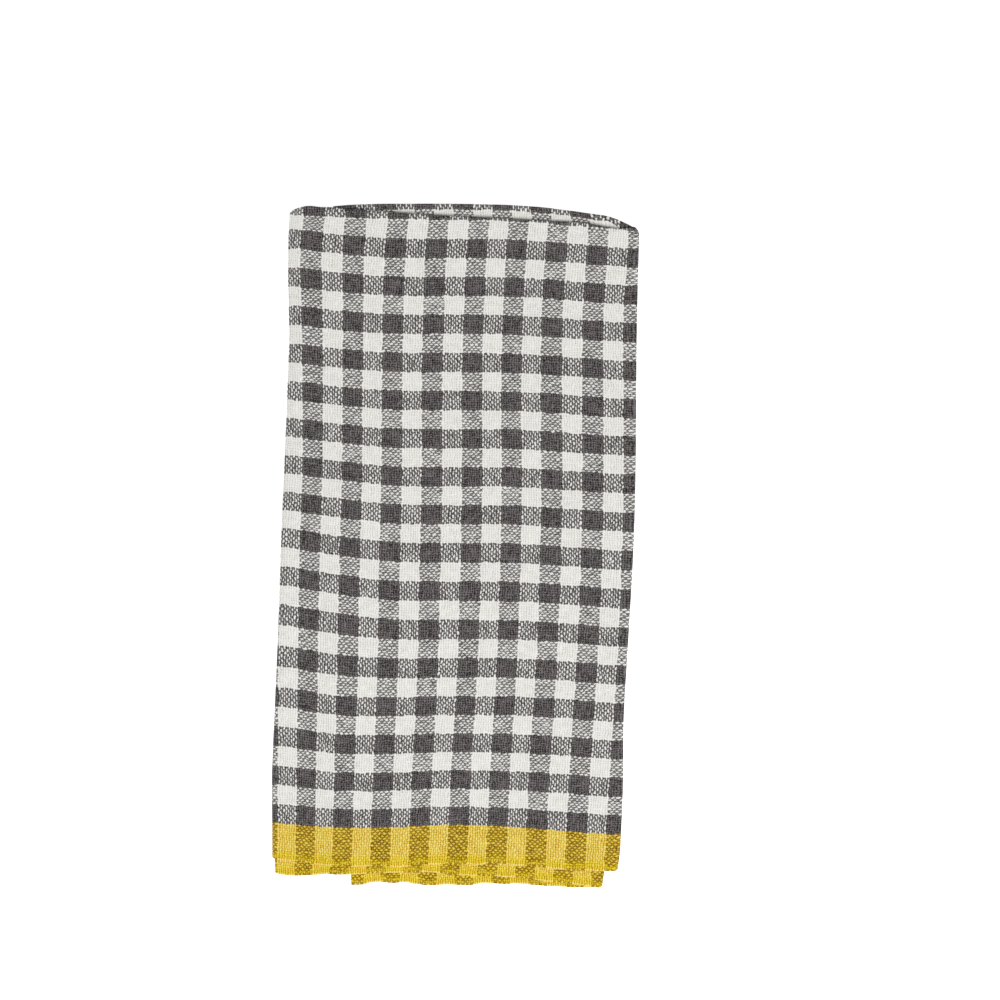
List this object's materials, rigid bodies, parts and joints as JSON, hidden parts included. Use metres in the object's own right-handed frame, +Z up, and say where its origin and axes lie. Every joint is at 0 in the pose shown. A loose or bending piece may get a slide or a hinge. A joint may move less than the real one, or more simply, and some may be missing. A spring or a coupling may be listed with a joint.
{
  "type": "tea towel",
  "caption": "Woven checked tea towel with bordered hems, folded in half and then in thirds and lying flat, for drying dishes or as table dressing.",
  "frame": {"origin": "middle of the bounding box on the surface that the folded towel lies on", "axes": "+Y from the hems towards the folded loop, +X to the right seen from above, +Z up out of the stack of layers"},
  "size_m": [0.1856, 0.3598, 0.0098],
  "materials": {
    "check_cotton": "plain-woven cotton in a charcoal and off-white check with mustard yellow end borders"
  },
  "bodies": {
    "root": {"tea_towel": "check_cotton"}
  },
  "joints": []
}
